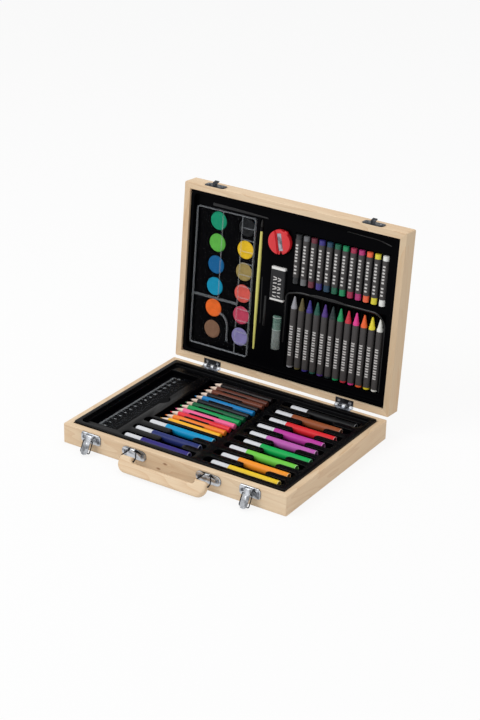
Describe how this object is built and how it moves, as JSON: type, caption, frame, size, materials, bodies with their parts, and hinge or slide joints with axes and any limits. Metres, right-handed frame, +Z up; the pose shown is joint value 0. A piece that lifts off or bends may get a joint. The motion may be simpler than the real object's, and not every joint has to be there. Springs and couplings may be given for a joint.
{
  "type": "wooden art set box",
  "caption": "Open pine art set case with toggle latches and a swinging handle; moulded trays hold pens, pencils, crayons, pastels, a paint palette and small tools.",
  "frame": {"origin": "middle of the case's underside, on the surface it stands on", "axes": "+Z up; +X to the right of someone who faces the handle; +Y from the handle towards the hinges"},
  "size_m": [0.3, 0.2899, 0.2541],
  "materials": {
    "pine": "fine sanded, bare",
    "plywood": "fine sanded, bare",
    "plated_steel": "bright zinc plate",
    "spring_wire": "drawn, dark",
    "black_tray": "gloss vacuum formed",
    "clear_plastic": "clear gloss",
    "pencil_paint": "lacquered in each pencil's colour",
    "pencil_lead": "in each pencil's colour",
    "pen_plastic": "moulded in each pen's colour",
    "white_plastic": "gloss",
    "pen_felt": "felt in each pen's colour",
    "palette_plastic": "gloss",
    "watercolour": "matt dry cakes, each its own colour",
    "yellow_lacquer": "gloss lacquer",
    "ferrule_metal": "blackened",
    "brush_hair": "soft hair",
    "red_plastic": "gloss",
    "blade_steel": "ground",
    "eraser_rubber": "matt",
    "black_card": "semi-gloss",
    "glue_plastic": "grey",
    "glue": "waxy",
    "wax": "waxy, each its own colour",
    "wrapper_paper": "matt"
  },
  "bodies": {
    "base": {"base_front_board": "pine", "base_back_board": "pine", "base_left_board": "pine", "base_right_board": "pine", "base_bottom_panel": "plywood", "base_tray": "black_tray", "hinge_base_leaf_left": "plated_steel", "hinge_base_leaf_right": "plated_steel", "hinge_pins": "spring_wire", "hinge_base_screws": "plated_steel", "latch_plate_left": "plated_steel", "latch_plate_right": "plated_steel", "latch_pins": "spring_wire", "latch_plate_screws": "plated_steel", "handle_plates": "plated_steel", "handle_plate_screws": "plated_steel"},
    "lid": {"lid_front_board": "pine", "lid_back_board": "pine", "lid_left_board": "pine", "lid_right_board": "pine", "lid_top_panel": "plywood", "lid_tray": "black_tray", "hinge_lid_leaf_left": "plated_steel", "hinge_lid_leaf_right": "plated_steel", "hinge_lid_screws": "plated_steel", "catches": "plated_steel", "catch_screws": "plated_steel"},
    "latch_lever_left": {"latch_lever_left": "plated_steel"},
    "latch_lever_right": {"latch_lever_right": "plated_steel"},
    "latch_bail_left": {"latch_bail_left": "spring_wire"},
    "latch_bail_right": {"latch_bail_right": "spring_wire"},
    "handle_links": {"handle_links": "spring_wire"},
    "handle_grip": {"handle_grip": "pine"},
    "ruler": {"ruler": "clear_plastic"},
    "pencils": {"pencil_barrels": "pencil_paint", "pencil_leads": "pencil_lead"},
    "felt_pens": {"felt_pen_barrels": "pen_plastic", "felt_pen_caps": "white_plastic", "felt_pen_plugs": "pen_plastic", "felt_pen_nibs": "pen_felt", "felt_pen_ink_cores": "pen_felt"},
    "palette": {"paint_palette": "palette_plastic", "paint_cakes": "watercolour"},
    "palette_cover": {"paint_cover": "clear_plastic"},
    "brush": {"brush_handle": "yellow_lacquer", "brush_ferrule": "ferrule_metal", "brush_bristles": "brush_hair"},
    "sharpener": {"sharpener_body": "red_plastic", "sharpener_blade": "blade_steel", "sharpener_screw": "blade_steel"},
    "eraser": {"eraser_block": "eraser_rubber", "eraser_sleeve": "black_card"},
    "glue_stick": {"glue_tube": "glue_plastic", "glue_cap": "clear_plastic", "glue_stick": "glue"},
    "crayons": {"wax_crayons": "wax", "crayon_wrappers": "wrapper_paper"},
    "pastels": {"oil_pastels": "wax", "pastel_wrappers": "wrapper_paper"}
  },
  "joints": [
    {"name": "lid_hinge", "type": "hinge", "parent": "base", "child": "lid", "pos_m": [0, 0.1132, 0.0245], "axis": [1, 0, 0], "range_deg": [0, 94.5]},
    {"name": "latch_lever_swing_left", "type": "hinge", "parent": "base", "child": "latch_lever_left", "pos_m": [-0.11, -0.1151, 0.0202], "axis": [-1, 0, 0], "range_deg": [-29, 111]},
    {"name": "latch_bail_swing_left", "type": "hinge", "parent": "latch_lever_left", "child": "latch_bail_left", "pos_m": [-0.11, -0.11711, 0.01617], "axis": [1, 0, 0], "range_deg": [0, 40]},
    {"name": "latch_lever_swing_right", "type": "hinge", "parent": "base", "child": "latch_lever_right", "pos_m": [0.104, -0.1151, 0.0202], "axis": [-1, 0, 0], "range_deg": [-29, 111]},
    {"name": "latch_bail_swing_right", "type": "hinge", "parent": "latch_lever_right", "child": "latch_bail_right", "pos_m": [0.104, -0.11711, 0.01617], "axis": [1, 0, 0], "range_deg": [0, 40]},
    {"name": "handle_link_swing", "type": "hinge", "parent": "base", "child": "handle_links", "pos_m": [0, -0.114, 0.0205], "axis": [-1, 0, 0], "range_deg": [-40, 95]},
    {"name": "handle_grip_swing", "type": "hinge", "parent": "handle_links", "child": "handle_grip", "pos_m": [0, -0.12607, 0.01381], "axis": [1, 0, 0], "range_deg": [-60, 30]},
    {"name": "ruler_lift", "type": "slide", "parent": "base", "child": "ruler", "axis": [0, 0, -1], "range_m": [-0.016, 0]},
    {"name": "pencils_lift", "type": "slide", "parent": "base", "child": "pencils", "axis": [0, 0, -1], "range_m": [-0.016, 0]},
    {"name": "felt_pens_lift", "type": "slide", "parent": "base", "child": "felt_pens", "axis": [0, 0, -1], "range_m": [-0.016, 0]},
    {"name": "palette_lift", "type": "slide", "parent": "lid", "child": "palette", "axis": [0, 0.9969, -0.0785], "range_m": [-0.02, 0]},
    {"name": "palette_cover_lift", "type": "slide", "parent": "palette", "child": "palette_cover", "axis": [0, 0.9969, -0.0785], "range_m": [-0.006, 0]},
    {"name": "brush_lift", "type": "slide", "parent": "lid", "child": "brush", "axis": [0, 0.9969, -0.0785], "range_m": [-0.014, 0]},
    {"name": "sharpener_lift", "type": "slide", "parent": "lid", "child": "sharpener", "axis": [0, 0.9969, -0.0785], "range_m": [-0.014, 0]},
    {"name": "eraser_lift", "type": "slide", "parent": "lid", "child": "eraser", "axis": [0, 0.9969, -0.0785], "range_m": [-0.014, 0]},
    {"name": "glue_stick_lift", "type": "slide", "parent": "lid", "child": "glue_stick", "axis": [0, 0.9969, -0.0785], "range_m": [-0.014, 0]},
    {"name": "crayons_lift", "type": "slide", "parent": "lid", "child": "crayons", "axis": [0, 0.9969, -0.0785], "range_m": [-0.014, 0]},
    {"name": "pastels_lift", "type": "slide", "parent": "lid", "child": "pastels", "axis": [0, 0.9969, -0.0785], "range_m": [-0.014, 0]}
  ]
}
